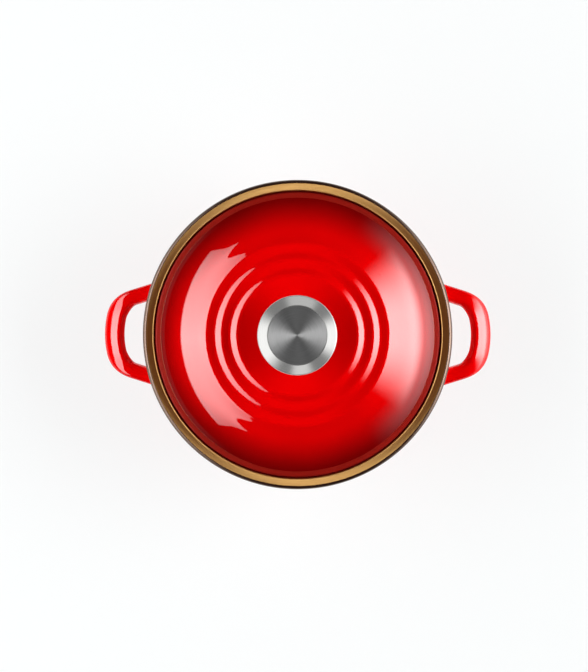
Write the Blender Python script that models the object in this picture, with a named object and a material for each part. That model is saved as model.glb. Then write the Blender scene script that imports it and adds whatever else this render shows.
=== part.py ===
"""A round cast iron dutch oven with a nesting lid, a rim band and a screwed-on steel knob.

The model stands on Z = 0 with its axis on the Z axis, and its two loop handles point along +X and -X.
Lengths are in metres and +Z is up. Every turned piece is a small profile with a Screw modifier.
"""

import math

import bmesh
import bpy
from mathutils import Vector

# Clearances
FIT_GAP = 0.0003            # between pieces that are seated, pressed or screwed together
SCREW_CLEARANCE = 0.0005    # round the screw, where it passes through the lid and its washers

# Pot casting
WALL_FOOT_RADIUS = 0.0993   # outer wall, where its line would meet the base
WALL_TOP_RADIUS = 0.1063    # outer wall, just under the collar
WALL_TOP_HEIGHT = 0.0940
BASE_ROUND = 0.0220
WALL_THICKNESS = 0.0045
FLOOR_THICKNESS = 0.0050
COLLAR_OVERHANG = 0.0070    # from the top of the wall to the outside of the collar
COLLAR_FLARE_HEIGHT = 0.0060
COLLAR_ROUND = 0.0050
LIP_HEIGHT = 0.1083
LIP_THICKNESS = 0.0039
SEAT_DEPTH = 0.0041         # from the lip down to the ledge that carries the lid
SEAT_ROUND = 0.0008

# Rim band, a channel section pressed over the lip
BAND_THICKNESS = 0.0014
BAND_OUTER_SKIRT = 0.0055
BAND_INNER_SKIRT = 0.0036
BAND_OUTER_ROUND = 0.0032
BAND_INNER_ROUND = 0.0013

# Loop handles
HANDLE_PROJECTION = 0.0408  # from the pot's wall to the outside of the loop
HANDLE_HEIGHT = 0.0800      # middle of the bar
HANDLE_BAR_STRAIGHT = 0.0150
HANDLE_BEND_RADIUS = 0.0215
HANDLE_LEG_FLARE = math.radians(17.5)
HANDLE_BAR_HALF_WIDTH = 0.0082
HANDLE_LEG_HALF_WIDTH = 0.0060
HANDLE_HALF_THICKNESS = 0.0056
HANDLE_BAR_TILT = math.radians(30.0)
HANDLE_LEG_TILT = math.radians(10.0)
HANDLE_SQUARENESS = 2.8     # exponent of the section's superellipse
HANDLE_ROOT_ROUND = 0.0060
HANDLE_ROOT_TURN = math.radians(72.0)   # how much of a quarter round the root's fillet has
HANDLE_ROOT_SINK = 0.0020   # past the wall, before the wall trims it

# Lid casting
LID_PLAY = 0.0019           # between the lid's edge and the rim band
LID_EDGE_THICKNESS = 0.0040
LID_EDGE_ROUND = 0.0014
LID_WALL = 0.0045
FLANGE_WIDTH = 0.0042
FLANGE_SLOPE = math.radians(13.0)
LOCATING_PLAY = 0.0006      # between the locating rim and the pot's bore
LOCATING_RIM_WIDTH = 0.0035
LOCATING_RIM_DEPTH = 0.0070
KNOB_SEAT_RADIUS = 0.0165
FIRST_FLAT_RADIUS = 0.04115  # where the first wave starts, at its gentlest slope
WAVE_LENGTH = 0.0113
WAVE_COUNT = 2.5
WAVE_MEAN_SLOPE = math.radians(12.5)
WAVE_SWING = math.radians(12.0)
FAINT_SWING = math.radians(4.5)     # how much gentler the slope gets in the faint wave after them
SHOULDER_SLOPE = math.radians(42.0)
SHOULDER_POWER = 1.53

# Knob
KNOB_RADIUS = 0.02875
KNOB_SHEET = 0.0012
KNOB_FOOT_RADIUS = 0.0150
KNOB_FOOT_HEIGHT = 0.0020
KNOB_NECK_RADIUS = 0.0122
KNOB_NECK_HEIGHT = 0.0070
KNOB_EQUATOR_HEIGHT = 0.0205
KNOB_HEIGHT = 0.0280
KNOB_SHOULDER_SLOPE = math.radians(25.0)
KNOB_EDGE_ROUND = 0.0015    # between the shoulder and the widest line
KNOB_FACE_RADIUS = 0.0213   # recess in the cap that takes the disc
KNOB_DISC_THICKNESS = 0.0014
KNOB_LEDGE_WIDTH = 0.0080
NUT_RADIUS = 0.0065
NUT_HEIGHT = 0.0160
GASKET_RADIUS = 0.0140
GASKET_THICKNESS = 0.0015

# Screw and what it clamps from below
SCREW_RADIUS = 0.0030
SCREW_REACH = 0.0130        # into the knob's nut
SCREW_HEAD_RADIUS = 0.0060
SCREW_HEAD_HEIGHT = 0.0034
SCREW_SLOT_WIDTH = 0.0014
SCREW_SLOT_DEPTH = 0.0014
LOCK_WASHER_RADIUS = 0.0054
LOCK_WASHER_THICKNESS = 0.0015
LOCK_WASHER_SPLIT = 0.0012
WASHER_RADIUS = 0.0080
WASHER_THICKNESS = 0.0012
SEAL_RADIUS = 0.0090
SEAL_THICKNESS = 0.0010

# Facets
BODY_STEPS = 60
KNOB_STEPS = 36
SCREW_STEPS = 24
ROUND_STEPS = 3
BASE_ROUND_STEPS = 4
CROWN_STEPS = 3             # the lid's top, inside the waves
WAVE_STEPS = 6              # each wave
SHOULDER_STEPS = 12         # the lid's top, outside the waves
UNDERSIDE_STEPS = 5         # each half of the lid's underside
SECTION_POINTS = 16
BEND_STEPS = 7
ROOT_STEPS = 4
SMOOTH_ANGLE = math.radians(40.0)

# Places that follow from the sizes above
BORE_RADIUS = WALL_TOP_RADIUS - WALL_THICKNESS
COLLAR_RADIUS = WALL_TOP_RADIUS + COLLAR_OVERHANG
LIP_INNER_RADIUS = COLLAR_RADIUS - LIP_THICKNESS
SEAT_HEIGHT = LIP_HEIGHT - SEAT_DEPTH
BAND_OUTER_RADIUS = COLLAR_RADIUS + FIT_GAP + BAND_THICKNESS
BAND_INNER_RADIUS = LIP_INNER_RADIUS - FIT_GAP - BAND_THICKNESS
BAND_TOP = LIP_HEIGHT + FIT_GAP + BAND_THICKNESS
LIP_ROUND = BAND_OUTER_ROUND - BAND_THICKNESS - FIT_GAP
LID_RADIUS = BAND_INNER_RADIUS - LID_PLAY
LID_BOTTOM = SEAT_HEIGHT + FIT_GAP
CREASE_RADIUS = LID_RADIUS - FLANGE_WIDTH
CREASE_HEIGHT = LID_BOTTOM + LID_EDGE_THICKNESS + FLANGE_WIDTH * math.tan(FLANGE_SLOPE)
LOCATING_RADIUS = BORE_RADIUS - LOCATING_PLAY
LAST_WAVE_RADIUS = FIRST_FLAT_RADIUS + WAVE_COUNT * WAVE_LENGTH
SCREW_HOLE_RADIUS = SCREW_RADIUS + SCREW_CLEARANCE


def lid_slope(radius, waves=True):
    """Downward slope of the lid's top, as an angle; without waves it is the line that they swing about."""
    if radius <= KNOB_SEAT_RADIUS:
        return 0.0
    gentlest = WAVE_MEAN_SLOPE - WAVE_SWING
    if radius <= FIRST_FLAT_RADIUS:
        return gentlest * (radius - KNOB_SEAT_RADIUS) / (FIRST_FLAT_RADIUS - KNOB_SEAT_RADIUS)
    if radius <= LAST_WAVE_RADIUS:
        quarter = WAVE_LENGTH / 4
        if not waves and FIRST_FLAT_RADIUS + quarter < radius < LAST_WAVE_RADIUS - quarter:
            return WAVE_MEAN_SLOPE
        turn = math.tau * (radius - FIRST_FLAT_RADIUS) / WAVE_LENGTH
        return WAVE_MEAN_SLOPE - WAVE_SWING * math.cos(turn)
    steepest = WAVE_MEAN_SLOPE + WAVE_SWING
    outward = (radius - LAST_WAVE_RADIUS) / (CREASE_RADIUS - LAST_WAVE_RADIUS)
    slope = steepest + (SHOULDER_SLOPE - steepest) * outward ** SHOULDER_POWER
    faint_turn = min(math.tau * (radius - LAST_WAVE_RADIUS) / WAVE_LENGTH, math.tau)
    return slope - FAINT_SWING * (1 - math.cos(faint_turn)) / 2 if waves else slope


def lid_drop(start, end, waves=True):
    """How far the lid's top falls from one radius to another, by Simpson's rule in short steps."""
    steps = 24
    width = (end - start) / steps
    total = 0.0
    for step in range(steps):
        left = start + step * width
        samples = (left, left + width / 2, left + width)
        low, middle, high = (math.tan(lid_slope(radius, waves)) for radius in samples)
        total += width * (low + 4 * middle + high) / 6
    return total


LID_TOP = CREASE_HEIGHT + lid_drop(0.0, CREASE_RADIUS)
LID_UNDERSIDE = LID_TOP - LID_WALL
KNOB_BOTTOM = LID_TOP + FIT_GAP + GASKET_THICKNESS + FIT_GAP
SEAL_TOP = LID_UNDERSIDE - FIT_GAP
WASHER_TOP = SEAL_TOP - SEAL_THICKNESS - FIT_GAP
LOCK_WASHER_TOP = WASHER_TOP - WASHER_THICKNESS - FIT_GAP
SCREW_HEAD_TOP = LOCK_WASHER_TOP - LOCK_WASHER_THICKNESS - FIT_GAP


def clear_scene():
    for thing in list(bpy.data.objects):
        bpy.data.objects.remove(thing, do_unlink=True)


def finish(name, colour, roughness, metallic):
    """A Principled material; the colour is linear RGB."""
    material = bpy.data.materials.new(name)
    material.use_nodes = True
    shader = material.node_tree.nodes["Principled BSDF"]
    shader.inputs["Base Color"].default_value = (*colour, 1.0)
    shader.inputs["Roughness"].default_value = roughness
    shader.inputs["Metallic"].default_value = metallic
    material.diffuse_color = (*colour, 1.0)
    return material


def add_object(name, mesh, material, parent=None):
    made = bpy.data.objects.new(name, mesh)
    bpy.context.scene.collection.objects.link(made)
    made.data.materials.append(material)
    made.parent = parent
    return made


def add_cutter(name, mesh):
    """An object that only cuts others: it isn't rendered, and it shows as wire."""
    cutter = bpy.data.objects.new(name, mesh)
    bpy.context.scene.collection.objects.link(cutter)
    cutter.hide_render = True
    cutter.display_type = "WIRE"
    return cutter


def cut(target, cutter):
    modifier = target.modifiers.new(f"cut_{cutter.name}", "BOOLEAN")
    modifier.operation = "DIFFERENCE"
    modifier.solver = "EXACT"
    modifier.object = cutter


def rounded(corners, steps=ROUND_STEPS):
    """Turns corners (x, z, rounding radius) of an outline into points, with an arc at each rounded corner.

    The first and last corners of an open outline carry a radius of 0.
    """
    points = []
    for index, (x, z, radius) in enumerate(corners):
        corner = Vector((x, z))
        if radius == 0.0:
            points.append(corner)
            continue
        before = Vector(corners[index - 1][:2]) - corner
        after = Vector(corners[(index + 1) % len(corners)][:2]) - corner
        half_angle = before.angle(after) / 2
        reach = radius / math.tan(half_angle)
        middle = corner + (before.normalized() + after.normalized()).normalized() * radius / math.sin(half_angle)
        first = corner + before.normalized() * reach - middle
        last = corner + after.normalized() * reach - middle
        for step in range(steps + 1):
            along = step / steps
            sweep = math.sin(math.pi - 2 * half_angle)
            weight_first = math.sin((1 - along) * (math.pi - 2 * half_angle)) / sweep
            weight_last = math.sin(along * (math.pi - 2 * half_angle)) / sweep
            points.append(middle + first * weight_first + last * weight_last)
    return points


def turn(target, steps):
    """Revolves the object's profile once round Z."""
    modifier = target.modifiers.new("turn", "SCREW")
    modifier.axis = "Z"
    modifier.angle = math.tau
    modifier.steps = steps
    modifier.render_steps = steps
    modifier.use_merge_vertices = True
    modifier.merge_threshold = 0.00001
    modifier.use_smooth_shade = True


def profile_mesh(name, points, closed):
    """A chain of edges in the XZ plane; its outer side runs from top to bottom."""
    mesh = bpy.data.meshes.new(name)
    edges = [(index, index + 1) for index in range(len(points) - 1)]
    if closed:
        edges.append((len(points) - 1, 0))
    mesh.from_pydata([(x, 0.0, z) for x, z in points], edges, [])
    return mesh


def turned(name, points, closed, steps, material, parent=None):
    made = add_object(name, profile_mesh(name, points, closed), material, parent)
    turn(made, steps)
    return made


def wall_radius(height):
    """Outer radius of the pot's tapered wall at a height."""
    return WALL_FOOT_RADIUS + (WALL_TOP_RADIUS - WALL_FOOT_RADIUS) * height / WALL_TOP_HEIGHT


def pot_outside(gap=0.0):
    """The pot's outer outline from the lip down to the base's middle, moved outwards by a gap."""
    flare_top = WALL_TOP_HEIGHT + COLLAR_FLARE_HEIGHT
    return [
        (COLLAR_RADIUS + gap, flare_top, COLLAR_ROUND / 2),
        (WALL_TOP_RADIUS + gap, WALL_TOP_HEIGHT, COLLAR_ROUND),
        (WALL_FOOT_RADIUS + gap, -gap, BASE_ROUND),
        (0.0, -gap, 0.0),
    ]


def build_pot_body(material):
    floor_corner = wall_radius(FLOOR_THICKNESS) - WALL_THICKNESS
    corners = [
        (0.0, FLOOR_THICKNESS, 0.0),
        (floor_corner, FLOOR_THICKNESS, BASE_ROUND - WALL_THICKNESS),
        (BORE_RADIUS, WALL_TOP_HEIGHT, 0.0),
        (BORE_RADIUS, SEAT_HEIGHT, SEAT_ROUND),
        (LIP_INNER_RADIUS, SEAT_HEIGHT, SEAT_ROUND),
        (LIP_INNER_RADIUS, LIP_HEIGHT, 0.0),
        (COLLAR_RADIUS, LIP_HEIGHT, LIP_ROUND),
    ]
    return turned("pot_body", rounded(corners + pot_outside(), BASE_ROUND_STEPS), False, BODY_STEPS, material)


def build_rim_band(material):
    lip_outside = COLLAR_RADIUS + FIT_GAP
    lip_inside = LIP_INNER_RADIUS - FIT_GAP
    lip_top = LIP_HEIGHT + FIT_GAP
    corners = [
        (BAND_INNER_RADIUS, BAND_TOP, BAND_INNER_ROUND),
        (BAND_OUTER_RADIUS, BAND_TOP, BAND_OUTER_ROUND),
        (BAND_OUTER_RADIUS, BAND_TOP - BAND_OUTER_SKIRT, 0.0),
        (lip_outside, BAND_TOP - BAND_OUTER_SKIRT, 0.0),
        (lip_outside, lip_top, LIP_ROUND + FIT_GAP),
        (lip_inside, lip_top, 0.0),
        (lip_inside, BAND_TOP - BAND_INNER_SKIRT, 0.0),
        (BAND_INNER_RADIUS, BAND_TOP - BAND_INNER_SKIRT, 0.0),
    ]
    return turned("rim_band", rounded(corners), True, BODY_STEPS, material)


def lid_points(radii, waves, depth):
    """Points of the lid's top at these radii, moved inwards from its surface by a depth."""
    points = []
    for radius in radii:
        slope = lid_slope(radius, waves)
        height = LID_TOP - lid_drop(0.0, radius, waves)
        points.append((radius - depth * math.sin(slope), height - depth * math.cos(slope)))
    return points


def spread(start, end, steps):
    """Radii after the start up to the end, in equal steps."""
    return [start + (end - start) * (step + 1) / steps for step in range(steps)]


def build_lid(material, parent):
    top_radii = [SCREW_HOLE_RADIUS, KNOB_SEAT_RADIUS]
    top_radii += spread(KNOB_SEAT_RADIUS, FIRST_FLAT_RADIUS, CROWN_STEPS)
    top_radii += spread(FIRST_FLAT_RADIUS, LAST_WAVE_RADIUS, round(WAVE_STEPS * WAVE_COUNT))
    top_radii += spread(LAST_WAVE_RADIUS, CREASE_RADIUS, SHOULDER_STEPS)
    inner_face = LOCATING_RADIUS - LOCATING_RIM_WIDTH
    under_radii = [CREASE_RADIUS]
    under_radii += spread(CREASE_RADIUS, LAST_WAVE_RADIUS, UNDERSIDE_STEPS)
    under_radii += spread(LAST_WAVE_RADIUS, FIRST_FLAT_RADIUS, UNDERSIDE_STEPS)
    under_radii += [KNOB_SEAT_RADIUS, SCREW_HOLE_RADIUS]
    rim_bottom = LID_BOTTOM - LOCATING_RIM_DEPTH
    edge = rounded([
        (CREASE_RADIUS, CREASE_HEIGHT, 0.0),
        (LID_RADIUS, LID_BOTTOM + LID_EDGE_THICKNESS, LID_EDGE_ROUND),
        (LID_RADIUS, LID_BOTTOM, LID_EDGE_ROUND / 2),
        (LOCATING_RADIUS, LID_BOTTOM, 0.0),
        (LOCATING_RADIUS, rim_bottom, LID_EDGE_ROUND / 2),
        (inner_face, rim_bottom, LID_EDGE_ROUND / 2),
        (inner_face, LID_BOTTOM, 0.0),
    ], 2)
    top = lid_points(top_radii, True, 0.0)
    underside = [point for point in lid_points(under_radii, False, LID_WALL) if point[0] < inner_face]
    return turned("lid", top + edge[1:] + underside, True, BODY_STEPS, material, parent)


def washer(name, radius, top, thickness, steps, material, parent):
    """A flat ring round the screw."""
    points = [
        (SCREW_HOLE_RADIUS, top),
        (radius, top),
        (radius, top - thickness),
        (SCREW_HOLE_RADIUS, top - thickness),
    ]
    return turned(name, points, True, steps, material, parent)


def build_knob_cup(material, parent):
    """The knob's lower shell: a foot, a neck and a flare up to the widest line, open at the top."""
    equator = KNOB_BOTTOM + KNOB_EQUATOR_HEIGHT
    foot_top = KNOB_BOTTOM + KNOB_FOOT_HEIGHT
    neck = KNOB_BOTTOM + KNOB_NECK_HEIGHT
    inside_floor = KNOB_BOTTOM + KNOB_SHEET
    flare = KNOB_RADIUS - KNOB_NECK_RADIUS
    corners = [
        (KNOB_RADIUS - KNOB_SHEET, equator, 0.0),
        (KNOB_RADIUS, equator, 0.0),
        (KNOB_RADIUS, equator - flare / 4, flare / 4),
        (KNOB_NECK_RADIUS, neck, flare / 3),
        (KNOB_NECK_RADIUS, foot_top, 0.0),
        (KNOB_FOOT_RADIUS, foot_top, 0.0),
        (KNOB_FOOT_RADIUS, KNOB_BOTTOM, 0.0),
        (SCREW_HOLE_RADIUS, KNOB_BOTTOM, 0.0),
        (SCREW_HOLE_RADIUS, inside_floor, 0.0),
        (KNOB_NECK_RADIUS - KNOB_SHEET, inside_floor, 0.0),
        (KNOB_NECK_RADIUS - KNOB_SHEET, neck + KNOB_SHEET / 2, flare / 3),
        (KNOB_RADIUS - KNOB_SHEET, equator - flare / 4 + KNOB_SHEET / 2, flare / 4),
    ]
    return turned("knob_cup", rounded(corners), True, KNOB_STEPS, material, parent)


def build_knob_cap(material, parent):
    """The knob's upper shell: a sloping shoulder, a recess for the disc and a ledge under it."""
    equator = KNOB_BOTTOM + KNOB_EQUATOR_HEIGHT + FIT_GAP
    top = KNOB_BOTTOM + KNOB_HEIGHT
    recess = top - KNOB_DISC_THICKNESS - FIT_GAP
    shoulder_drop = (KNOB_RADIUS - KNOB_FACE_RADIUS) * math.tan(KNOB_SHOULDER_SLOPE)
    ledge = KNOB_FACE_RADIUS - KNOB_LEDGE_WIDTH
    corners = [
        (ledge, recess, 0.0),
        (KNOB_FACE_RADIUS, recess, 0.0),
        (KNOB_FACE_RADIUS, top, 0.0),
        (KNOB_RADIUS, top - shoulder_drop, KNOB_EDGE_ROUND),
        (KNOB_RADIUS, equator, 0.0),
        (KNOB_RADIUS - KNOB_SHEET, equator, 0.0),
        (KNOB_RADIUS - KNOB_SHEET, top - shoulder_drop - KNOB_SHEET, 0.0),
        (KNOB_FACE_RADIUS, recess - KNOB_SHEET, 0.0),
        (ledge, recess - KNOB_SHEET, 0.0),
    ]
    return turned("knob_cap", rounded(corners), True, KNOB_STEPS, material, parent)


def build_knob_disc(material, parent):
    radius = KNOB_FACE_RADIUS - FIT_GAP
    top = KNOB_BOTTOM + KNOB_HEIGHT
    bottom = top - KNOB_DISC_THICKNESS
    points = [(0.0, top), (radius, top), (radius, bottom), (0.0, bottom)]
    return turned("knob_disc", points, False, KNOB_STEPS, material, parent)


def build_knob_nut(material, parent):
    bottom = KNOB_BOTTOM + KNOB_SHEET + FIT_GAP
    points = [
        (SCREW_RADIUS + FIT_GAP, bottom + NUT_HEIGHT),
        (NUT_RADIUS, bottom + NUT_HEIGHT),
        (NUT_RADIUS, bottom),
        (SCREW_RADIUS + FIT_GAP, bottom),
    ]
    return turned("knob_nut", points, True, SCREW_STEPS, material, parent)


def build_lid_screw(material, parent):
    """A slotted pan head screw that comes up through the lid into the knob's nut."""
    bottom = SCREW_HEAD_TOP - SCREW_HEAD_HEIGHT
    corners = [
        (0.0, KNOB_BOTTOM + SCREW_REACH, 0.0),
        (SCREW_RADIUS, KNOB_BOTTOM + SCREW_REACH, 0.0),
        (SCREW_RADIUS, SCREW_HEAD_TOP, 0.0),
        (SCREW_HEAD_RADIUS, SCREW_HEAD_TOP, 0.0),
        (SCREW_HEAD_RADIUS, bottom, SCREW_HEAD_HEIGHT / 2),
        (0.0, bottom, 0.0),
    ]
    screw = turned("lid_screw", rounded(corners), False, SCREW_STEPS, material, parent)
    slot = add_cutter("screw_slot", box_mesh("screw_slot", 4 * SCREW_HEAD_RADIUS, SCREW_SLOT_WIDTH,
                                             2 * SCREW_SLOT_DEPTH))
    slot.location = (0.0, 0.0, bottom)
    cut(screw, slot)
    return screw


def build_lock_washer(material, parent):
    """A spring washer, split on one side."""
    made = washer("lock_washer", LOCK_WASHER_RADIUS, LOCK_WASHER_TOP, LOCK_WASHER_THICKNESS,
                  SCREW_STEPS, material, parent)
    split = add_cutter("washer_split", box_mesh("washer_split", 2 * LOCK_WASHER_RADIUS,
                                                LOCK_WASHER_SPLIT, 4 * LOCK_WASHER_THICKNESS))
    split.location = (LOCK_WASHER_RADIUS, 0.0, LOCK_WASHER_TOP)
    cut(made, split)
    return made


def box_mesh(name, length, width, height):
    mesh = bpy.data.meshes.new(name)
    shape = bmesh.new()
    bmesh.ops.create_cube(shape, size=1.0)
    bmesh.ops.scale(shape, vec=(length, width, height), verts=shape.verts)
    shape.to_mesh(mesh)
    shape.free()
    return mesh


def handle_section(share):
    """Outline of a loop's section, as (outwards, up): a flattened oval that leans down on its outer side.

    The share is 0 at the bar and 1 at the legs.
    """
    half_width = HANDLE_BAR_HALF_WIDTH + (HANDLE_LEG_HALF_WIDTH - HANDLE_BAR_HALF_WIDTH) * share
    tilt = HANDLE_BAR_TILT + (HANDLE_LEG_TILT - HANDLE_BAR_TILT) * share
    power = 2 / HANDLE_SQUARENESS
    points = []
    for index in range(SECTION_POINTS):
        angle = math.tau * index / SECTION_POINTS
        across = half_width * math.copysign(abs(math.cos(angle)) ** power, math.cos(angle))
        up = HANDLE_HALF_THICKNESS * math.copysign(abs(math.sin(angle)) ** power, math.sin(angle))
        points.append(Vector((across * math.cos(tilt) + up * math.sin(tilt),
                              up * math.cos(tilt) - across * math.sin(tilt))))
    return points


def ring_at(middle, turned_by, share):
    """A loop's section standing across its middle line, which travels along +Y turned by an angle."""
    outwards = Vector((math.cos(turned_by), math.sin(turned_by), 0.0))
    return [middle + outwards * across + Vector((0.0, 0.0, up)) for across, up in handle_section(share)]


def root_ring(middle, turned_by, swell, distance):
    """The leg's section grown by a swell, each point slid along the leg to a distance from the wall."""
    outwards = Vector((math.cos(turned_by), math.sin(turned_by), 0.0))
    along = Vector((-math.sin(turned_by), math.cos(turned_by), 0.0))
    ring = []
    for point in handle_section(1.0):
        across, up = point + point.normalized() * swell
        start = middle + outwards * across + Vector((0.0, 0.0, up))
        goal = wall_radius(start.z) + distance
        approach = start.x * along.x + start.y * along.y
        travel = -approach - math.sqrt(approach ** 2 - start.x ** 2 - start.y ** 2 + goal ** 2)
        ring.append(start + along * travel)
    return ring


def half_loop():
    """Rings of half a loop, from the bar's middle round the bend and down the leg into the wall."""
    reach = wall_radius(HANDLE_HEIGHT) + HANDLE_PROJECTION
    bar_x = reach - max(across for across, up in handle_section(0.0))
    bend_x = bar_x - HANDLE_BEND_RADIUS
    bend_y = HANDLE_BAR_STRAIGHT / 2
    bend_turn = math.pi / 2 - HANDLE_LEG_FLARE
    rings = [ring_at(Vector((bar_x, 0.0, HANDLE_HEIGHT)), 0.0, 0.0)]
    for step in range(BEND_STEPS + 1):
        turned_by = bend_turn * step / BEND_STEPS
        middle = Vector((bend_x + HANDLE_BEND_RADIUS * math.cos(turned_by),
                         bend_y + HANDLE_BEND_RADIUS * math.sin(turned_by), HANDLE_HEIGHT))
        rings.append(ring_at(middle, turned_by, step / BEND_STEPS))
    for step in range(ROOT_STEPS + 1):
        fillet_turn = HANDLE_ROOT_TURN * step / ROOT_STEPS
        swell = HANDLE_ROOT_ROUND * (1 - math.cos(fillet_turn))
        distance = HANDLE_ROOT_ROUND * (1 - math.sin(fillet_turn))
        rings.append(root_ring(middle, bend_turn, swell, distance))
    rings.append(root_ring(middle, bend_turn, swell, -HANDLE_ROOT_SINK))
    return rings


def build_handle(name, side, pot_skin, material):
    """One loop handle, which points along +X or -X, with its roots trimmed by the pot's outside."""
    half = half_loop()
    other_half = [[Vector((point.x, -point.y, point.z)) for point in ring] for ring in reversed(half[1:])]
    shape = bmesh.new()
    rings = [[shape.verts.new((point.x * side, point.y, point.z)) for point in ring]
             for ring in other_half + half]
    for near, far in zip(rings, rings[1:]):
        for index in range(SECTION_POINTS):
            following = (index + 1) % SECTION_POINTS
            shape.faces.new((near[index], near[following], far[following], far[index]))
    shape.faces.new(rings[0])
    shape.faces.new(rings[-1])
    bmesh.ops.recalc_face_normals(shape, faces=shape.faces)
    mesh = bpy.data.meshes.new(name)
    shape.to_mesh(mesh)
    shape.free()
    mesh.shade_smooth()
    mesh.set_sharp_from_angle(angle=SMOOTH_ANGLE)
    handle = add_object(name, mesh, material)
    cut(handle, pot_skin)
    return handle


def build_pot_skin():
    """The pot's outside grown by the fit gap, closed over its top, which trims the handles' roots."""
    top = LIP_HEIGHT
    corners = [(0.0, top, 0.0), (COLLAR_RADIUS + FIT_GAP, top, 0.0)] + pot_outside(FIT_GAP)
    skin = add_cutter("pot_skin", profile_mesh("pot_skin", rounded(corners, BASE_ROUND_STEPS), False))
    turn(skin, BODY_STEPS)
    return skin


def main():
    clear_scene()
    red_enamel = finish("red_enamel", (0.60, 0.004, 0.006), 0.12, 0.0)
    gold_band = finish("gold_toned_brass", (0.58, 0.36, 0.14), 0.32, 1.0)
    polished_steel = finish("polished_steel", (0.66, 0.66, 0.65), 0.12, 1.0)
    spun_steel = finish("spun_steel", (0.52, 0.52, 0.52), 0.32, 1.0)
    zinc_steel = finish("zinc_plated_steel", (0.55, 0.56, 0.57), 0.35, 1.0)
    dark_silicone = finish("dark_silicone", (0.03, 0.03, 0.03), 0.6, 0.0)

    build_pot_body(red_enamel)
    build_rim_band(gold_band)
    pot_skin = build_pot_skin()
    build_handle("handle_right", 1, pot_skin, red_enamel)
    build_handle("handle_left", -1, pot_skin, red_enamel)

    lid_lift = bpy.data.objects.new("lid_lift", None)
    bpy.context.scene.collection.objects.link(lid_lift)
    build_lid(red_enamel, lid_lift)
    washer("knob_gasket", GASKET_RADIUS, LID_TOP + FIT_GAP + GASKET_THICKNESS, GASKET_THICKNESS,
           KNOB_STEPS, dark_silicone, lid_lift)
    build_knob_cup(polished_steel, lid_lift)
    build_knob_cap(polished_steel, lid_lift)
    build_knob_disc(spun_steel, lid_lift)
    build_knob_nut(zinc_steel, lid_lift)
    build_lid_screw(zinc_steel, lid_lift)
    build_lock_washer(zinc_steel, lid_lift)
    washer("flat_washer", WASHER_RADIUS, WASHER_TOP, WASHER_THICKNESS, SCREW_STEPS, zinc_steel, lid_lift)
    washer("screw_seal", SEAL_RADIUS, SEAL_TOP, SEAL_THICKNESS, SCREW_STEPS, dark_silicone, lid_lift)


main()
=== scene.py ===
"""Looks of a round enamelled cast iron dutch oven with a nested lid, a rim band and a steel knob.

Lengths are in metres, +Z is up and the pot's axis is the Z axis. The loop handles point along X.
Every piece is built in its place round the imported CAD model, which gives the sizes that they share.
"""

import logging
import math
from collections.abc import Sequence
from dataclasses import dataclass
from enum import Enum

import bmesh
import bpy
from mathutils import Matrix, Vector


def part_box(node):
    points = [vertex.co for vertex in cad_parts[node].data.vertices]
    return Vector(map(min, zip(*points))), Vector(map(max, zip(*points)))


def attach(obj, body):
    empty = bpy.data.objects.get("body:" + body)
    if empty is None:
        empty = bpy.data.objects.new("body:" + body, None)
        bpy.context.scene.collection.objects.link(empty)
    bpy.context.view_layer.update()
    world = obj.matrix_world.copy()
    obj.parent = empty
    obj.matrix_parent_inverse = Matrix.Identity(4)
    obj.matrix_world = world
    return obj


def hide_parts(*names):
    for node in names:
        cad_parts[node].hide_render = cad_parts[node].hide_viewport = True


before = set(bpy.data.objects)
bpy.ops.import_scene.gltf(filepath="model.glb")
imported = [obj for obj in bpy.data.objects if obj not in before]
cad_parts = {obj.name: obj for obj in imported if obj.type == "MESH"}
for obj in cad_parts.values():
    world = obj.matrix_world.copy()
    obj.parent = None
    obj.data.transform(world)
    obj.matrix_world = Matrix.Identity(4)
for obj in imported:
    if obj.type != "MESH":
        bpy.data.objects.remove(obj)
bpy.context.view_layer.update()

LOG = logging.getLogger("dutch_oven")
MILLIMETRE = 0.001
SEAM = 0.00001              # points closer than this are one
SCREW_HOLE_RADIUS = 0.0035  # through lid, gasket and knob
SPOKES = 256                # faces round the pot, its band and the lid
ROUND_STEPS = 8
FINE_ROUND_STEPS = 12       # for metal edges, which mirror a light as a thin line
HOLD_SHARE = 0.25           # of a rounding's radius, from its arc to the point that holds the flat
SHARP_ANGLE = math.radians(24.0)
STEEPNESS = "steepness"     # attribute of the lid's top: 0 where flat, 1 on a wave's steep side
CARD_MAP = "card"           # UV map of a light card, which runs across it and up it
WHITE = "#ffffff"


# ---------------------------------------------------------------------------------------------
# Colours and nodes


class Ramp(Enum):
    """How a value goes from one end of a range to the other."""

    EVEN = "LINEAR"
    SOFT = "SMOOTHSTEP"


class Way(Enum):
    """Which way a distance runs, as the share that it keeps of each coordinate."""

    OUTWARDS = (1.0, 1.0, 0.0)
    UPWARDS = (0.0, 0.0, 1.0)


def linear(hex_colour: str) -> tuple[float, float, float, float]:
    """Turns an sRGB hex colour into linear RGBA.

    Args:
        hex_colour: Colour such as "#c08040".

    Returns:
        Red, green, blue and an alpha of 1, all linear.
    """
    channels = [int(hex_colour[start:start + 2], 16) / 255 for start in (1, 3, 5)]
    turned = [c / 12.92 if c <= 0.04045 else ((c + 0.055) / 1.055) ** 2.4 for c in channels]
    return (*turned, 1.0)


def add_node(tree: bpy.types.NodeTree, kind: str, settings: dict | None = None,
             inputs: dict | None = None) -> bpy.types.Node:
    """Adds a node, sets its properties, and fills or links its inputs.

    Args:
        tree: Node tree that takes the node.
        kind: Type of the node, such as "ShaderNodeMath".
        settings: Property names with their values.
        inputs: Socket names or places, each with a value, an output socket to link, or a node
            whose first output is linked.

    Returns:
        The new node.
    """
    node = tree.nodes.new(kind)
    for name, value in (settings or {}).items():
        setattr(node, name, value)
    for key, value in (inputs or {}).items():
        if isinstance(value, bpy.types.Node):
            value = next(socket for socket in value.outputs if not socket.is_unavailable)
        if isinstance(value, bpy.types.NodeSocket):
            tree.links.new(value, node.inputs[key])
        else:
            node.inputs[key].default_value = value
    return node


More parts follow.
